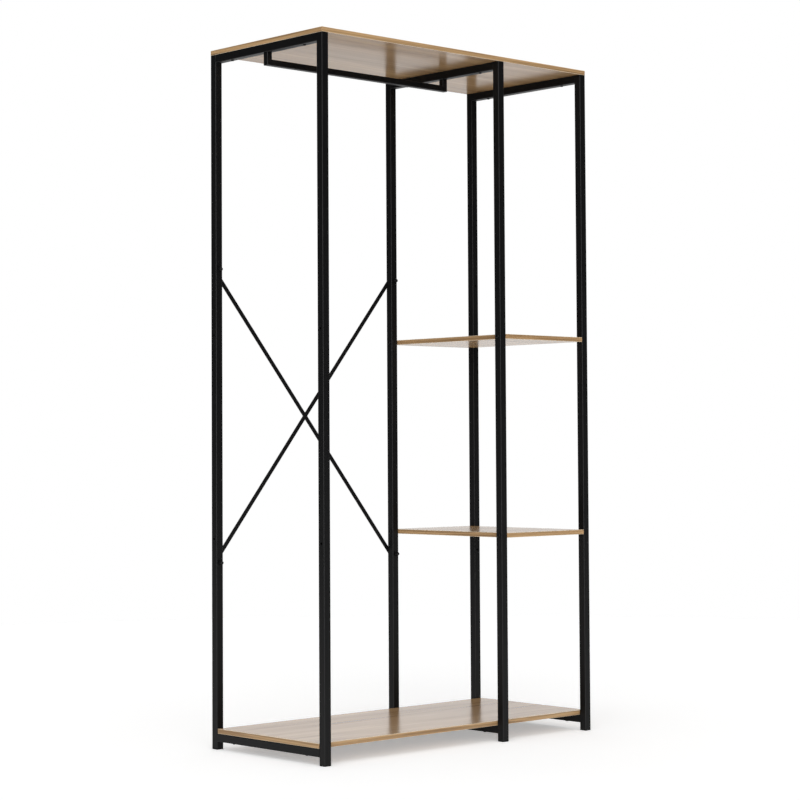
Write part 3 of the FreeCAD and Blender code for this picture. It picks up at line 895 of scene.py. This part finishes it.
# Stage

# Cosines from the view's direction at which the surround begins to brighten and is bright
BEHIND_RANGE = (0.5, 0.9)
BEFORE_RANGE = (-0.6, -0.95)
# Rise of a direction at which the surround is dimmed below the horizon, and at which it is full
BELOW_RANGE = (-0.3, -0.05)
# Ray depth between the first bounce and the second
FIRST_BOUNCE = 1.5
# Where the lamps are put, clear of the rack: a sun lamp lights alike from any place
LAMP_PLACE = (0.0, 0.0, 4.0)


class RACK_OT_make_stage(Operator):
    """Makes the floor, the lamps, the surround and the camera"""

    bl_idname = "rack.make_stage"
    bl_label = "Make the Stage"

    def execute(self, context):
        view = context.scene.rack_view
        stage = context.scene.rack_stage
        colours = context.scene.rack_colours
        self.make_floor(stage, colours)
        self.add_lamp("overhead_softbox", view.heading, stage.overhead_height,
                      stage.overhead_width, stage.overhead_power)
        self.add_lamp("front_softbox", view.heading + stage.front_turn, stage.front_height,
                      stage.front_width, stage.front_power)
        self.make_surround(stage, colours, view.heading)
        self.make_camera(view)
        context.scene.view_settings.view_transform = "Standard"
        return {"FINISHED"}

    def make_floor(self, stage, colours):
        """A wide pale floor that keeps the rack's shadow."""
        deselect()
        bpy.ops.mesh.primitive_circle_add(vertices=FLOOR_SIDES, radius=stage.floor_radius,
                                          fill_type="NGON")
        floor = settle(bpy.context.object, "studio_floor")
        material = bpy.data.materials.new("Studio floor")
        tree = empty_tree(material)
        matt = add(tree, "ShaderNodeBsdfDiffuse", {"Color": full(colours.floor)})
        strength = reckon(tree, "MULTIPLY", self.seen_rays(tree), stage.floor_glow)
        glow = add(tree, "ShaderNodeEmission", {"Color": full(colours.glow), "Strength": strength})
        both = add(tree, "ShaderNodeAddShader", {0: matt.outputs[0], 1: glow.outputs[0]})
        add(tree, "ShaderNodeOutputMaterial", {"Surface": both.outputs[0]})
        floor.data.materials.append(material)

    def seen_rays(self, tree):
        """1 on the rays that see the white floor itself, straight or in gloss and glass."""
        path = add(tree, "ShaderNodeLightPath").outputs
        gloss = reckon(tree, "MAXIMUM", path["Is Glossy Ray"], path["Is Transmission Ray"])
        first = reckon(tree, "LESS_THAN", path["Ray Depth"], FIRST_BOUNCE)
        return reckon(tree, "MAXIMUM", path["Is Camera Ray"], reckon(tree, "MULTIPLY", gloss, first))

    def add_lamp(self, name, heading, height, width, power):
        """A wide soft lamp on the camera's side that shines along a heading."""
        deselect()
        bpy.ops.object.light_add(type="SUN", location=LAMP_PLACE,
                                 rotation=(math.pi / 2 - height, 0.0, -heading))
        lamp = bpy.context.object
        lamp.name = name
        lamp.data.energy = power
        lamp.data.angle = width

    def make_surround(self, stage, colours, heading):
        """A surround that is white where it is seen and lights the rack less from its sides."""
        world = bpy.data.worlds.new("Studio")
        bpy.context.scene.world = world
        tree = empty_tree(world)
        toward = add(tree, "ShaderNodeTexCoord").outputs["Generated"]
        away = add(tree, "ShaderNodeVectorMath",
                   {0: toward, 1: (math.sin(heading), math.cos(heading), 0.0)},
                   operation="DOT_PRODUCT").outputs["Value"]
        path = add(tree, "ShaderNodeLightPath").outputs
        level = reckon(tree, "MAXIMUM", spread(tree, away, *BEHIND_RANGE, stage.beside, stage.behind),
                       spread(tree, away, *BEFORE_RANGE, stage.beside, stage.before))
        mirrored = reckon(tree, "MULTIPLY", path["Is Glossy Ray"], spread(tree, away, *BEHIND_RANGE))
        level = reckon(tree, "MULTIPLY", reckon(tree, "MAXIMUM", level, mirrored),
                       spread(tree, apart(tree, toward)["Z"], *BELOW_RANGE, stage.below, 1.0))
        seen = reckon(tree, "MAXIMUM", path["Is Camera Ray"], path["Is Transmission Ray"])
        sky = add(tree, "ShaderNodeBackground", {"Color": full(colours.glow),
                                                 "Strength": reckon(tree, "MAXIMUM", level, seen)})
        add(tree, "ShaderNodeOutputWorld", {"Surface": sky.outputs[0]})

    def make_camera(self, view):
        """The camera of the main view."""
        deselect()
        bpy.ops.object.camera_add()
        camera = bpy.context.object
        camera.name = "main_camera"
        turn = (Matrix.Rotation(-view.heading, 4, "Z")
                @ Matrix.Rotation(math.pi / 2 + view.tilt, 4, "X")
                @ Matrix.Rotation(view.roll, 4, "Z"))
        camera.matrix_world = Matrix.Translation(view.place) @ turn
        camera.data.sensor_width = view.sensor
        camera.data.lens = view.lens
        camera.data.shift_y = view.shift
        bpy.context.scene.camera = camera


class RACK_PT_panel(Panel):
    """Lists the steps that make the rack and the values they use"""

    bl_idname = "RACK_PT_panel"
    bl_label = "Clothes Rack"
    bl_space_type = "VIEW_3D"
    bl_region_type = "UI"
    bl_category = "Clothes Rack"

    def draw(self, context):
        for step in STEPS:
            self.layout.operator(step.bl_idname)
        for holder, group in GROUPS.items():
            box = self.layout.box()
            for name in group.__annotations__:
                box.prop(getattr(context.scene, holder), name)


STEPS = (RACK_OT_dress_steel, RACK_OT_make_boards, RACK_OT_make_edging, RACK_OT_make_screws,
         RACK_OT_make_cap_nuts, RACK_OT_make_foot_plugs, RACK_OT_make_stage)
GROUPS = {"rack_sizes": RackSizes, "rack_colours": RackColours, "rack_stage": RackStage,
          "rack_view": RackView}


def register():
    """Registers the property groups, the operators and the panel."""
    for name, group in GROUPS.items():
        bpy.utils.register_class(group)
        setattr(bpy.types.Scene, name, PointerProperty(type=group))
    for step in STEPS:
        bpy.utils.register_class(step)
    bpy.utils.register_class(RACK_PT_panel)


def unregister():
    """Removes what register added, in the opposite order."""
    bpy.utils.unregister_class(RACK_PT_panel)
    for step in reversed(STEPS):
        bpy.utils.unregister_class(step)
    for name, group in reversed(GROUPS.items()):
        delattr(bpy.types.Scene, name)
        bpy.utils.unregister_class(group)


def main():
    """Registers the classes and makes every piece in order."""
    register()
    bpy.ops.rack.dress_steel()
    bpy.ops.rack.make_boards()
    bpy.ops.rack.make_edging()
    bpy.ops.rack.make_screws()
    bpy.ops.rack.make_cap_nuts()
    bpy.ops.rack.make_foot_plugs()
    bpy.ops.rack.make_stage()
    deselect()


if __name__ == "__main__":
    main()
